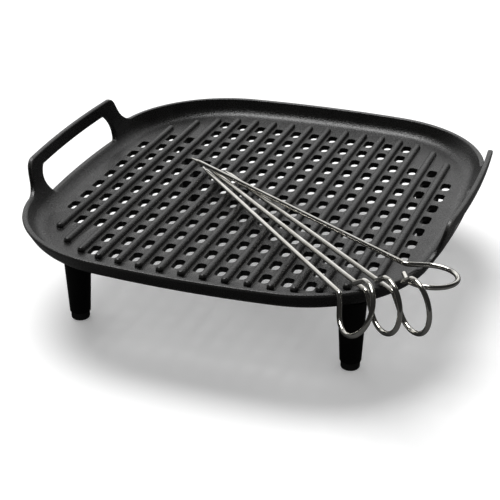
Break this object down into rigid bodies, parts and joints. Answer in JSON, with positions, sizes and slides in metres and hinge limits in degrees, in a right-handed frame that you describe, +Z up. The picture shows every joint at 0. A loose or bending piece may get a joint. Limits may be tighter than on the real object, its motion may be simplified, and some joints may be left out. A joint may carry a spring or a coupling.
{
  "type": "hibachi grill",
  "caption": "Table-top grill pan with ribs, drain slots and two looped handles, on screw-in legs, with wire skewers lying across one corner.",
  "frame": {"origin": "under the middle of the pan, on the table that the feet stand on", "axes": "+Z up, X from handle to handle, Y along the ribs, with the skewers' rings towards +X and -Y"},
  "size_m": [0.3434, 0.3606, 0.1044],
  "materials": {
    "pan_coating": "matte dark non-stick coating on cast aluminium",
    "leg_black": "black heat-proof moulding, satin",
    "foot_rubber": "matte",
    "stud_steel": "plain",
    "skewer_wire": "bright polished wire"
  },
  "bodies": {
    "pan": {"grill_pan": "pan_coating"},
    "washer_front_left": {"leg_washer_front_left": "stud_steel"},
    "leg_front_left": {"leg_front_left": "leg_black", "leg_stud_front_left": "stud_steel", "foot_cap_front_left": "foot_rubber"},
    "washer_front_right": {"leg_washer_front_right": "stud_steel"},
    "leg_front_right": {"leg_front_right": "leg_black", "leg_stud_front_right": "stud_steel", "foot_cap_front_right": "foot_rubber"},
    "washer_back_left": {"leg_washer_back_left": "stud_steel"},
    "leg_back_left": {"leg_back_left": "leg_black", "leg_stud_back_left": "stud_steel", "foot_cap_back_left": "foot_rubber"},
    "washer_back_right": {"leg_washer_back_right": "stud_steel"},
    "leg_back_right": {"leg_back_right": "leg_black", "leg_stud_back_right": "stud_steel", "foot_cap_back_right": "foot_rubber"},
    "skewer_front": {"skewer_front": "skewer_wire"},
    "skewer_second": {"skewer_second": "skewer_wire"},
    "skewer_third": {"skewer_third": "skewer_wire"},
    "skewer_top": {"skewer_top": "skewer_wire"}
  },
  "joints": [
    {"name": "leg_drop_front_left", "type": "slide", "parent": "pan", "child": "washer_front_left", "axis": [0, 0, -1], "range_m": [0, 0.00876]},
    {"name": "leg_turn_front_left", "type": "hinge", "parent": "washer_front_left", "child": "leg_front_left", "pos_m": [-0.1044, -0.109, 0.04], "axis": [0, 0, -1], "range_deg": [0, 2520]},
    {"name": "leg_drop_front_right", "type": "slide", "parent": "pan", "child": "washer_front_right", "axis": [0, 0, -1], "range_m": [0, 0.00876]},
    {"name": "leg_turn_front_right", "type": "hinge", "parent": "washer_front_right", "child": "leg_front_right", "pos_m": [0.1044, -0.109, 0.04], "axis": [0, 0, -1], "range_deg": [0, 2520]},
    {"name": "leg_drop_back_left", "type": "slide", "parent": "pan", "child": "washer_back_left", "axis": [0, 0, -1], "range_m": [0, 0.00876]},
    {"name": "leg_turn_back_left", "type": "hinge", "parent": "washer_back_left", "child": "leg_back_left", "pos_m": [-0.1044, 0.109, 0.04], "axis": [0, 0, -1], "range_deg": [0, 2520]},
    {"name": "leg_drop_back_right", "type": "slide", "parent": "pan", "child": "washer_back_right", "axis": [0, 0, -1], "range_m": [0, 0.00876]},
    {"name": "leg_turn_back_right", "type": "hinge", "parent": "washer_back_right", "child": "leg_back_right", "pos_m": [0.1044, 0.109, 0.04], "axis": [0, 0, -1], "range_deg": [0, 2520]},
    {"name": "skewer_front_out", "type": "slide", "parent": "pan", "child": "skewer_front", "axis": [0.6803, -0.7321, 0.035], "range_m": [0, 0.25]},
    {"name": "skewer_second_out", "type": "slide", "parent": "pan", "child": "skewer_second", "axis": [0.7165, -0.6967, 0.0354], "range_m": [0, 0.25]},
    {"name": "skewer_third_out", "type": "slide", "parent": "pan", "child": "skewer_third", "axis": [0.7344, -0.6777, 0.0367], "range_m": [0, 0.25]},
    {"name": "skewer_top_out", "type": "slide", "parent": "pan", "child": "skewer_top", "axis": [0.8479, -0.5298, 0.0175], "range_m": [0, 0.25]}
  ],
  "couplings": [
    {"joint": "leg_drop_front_left", "follows": "leg_turn_front_left", "m_per_rad": 0.00019894},
    {"joint": "leg_drop_front_right", "follows": "leg_turn_front_right", "m_per_rad": 0.00019894},
    {"joint": "leg_drop_back_left", "follows": "leg_turn_back_left", "m_per_rad": 0.00019894},
    {"joint": "leg_drop_back_right", "follows": "leg_turn_back_right", "m_per_rad": 0.00019894}
  ]
}
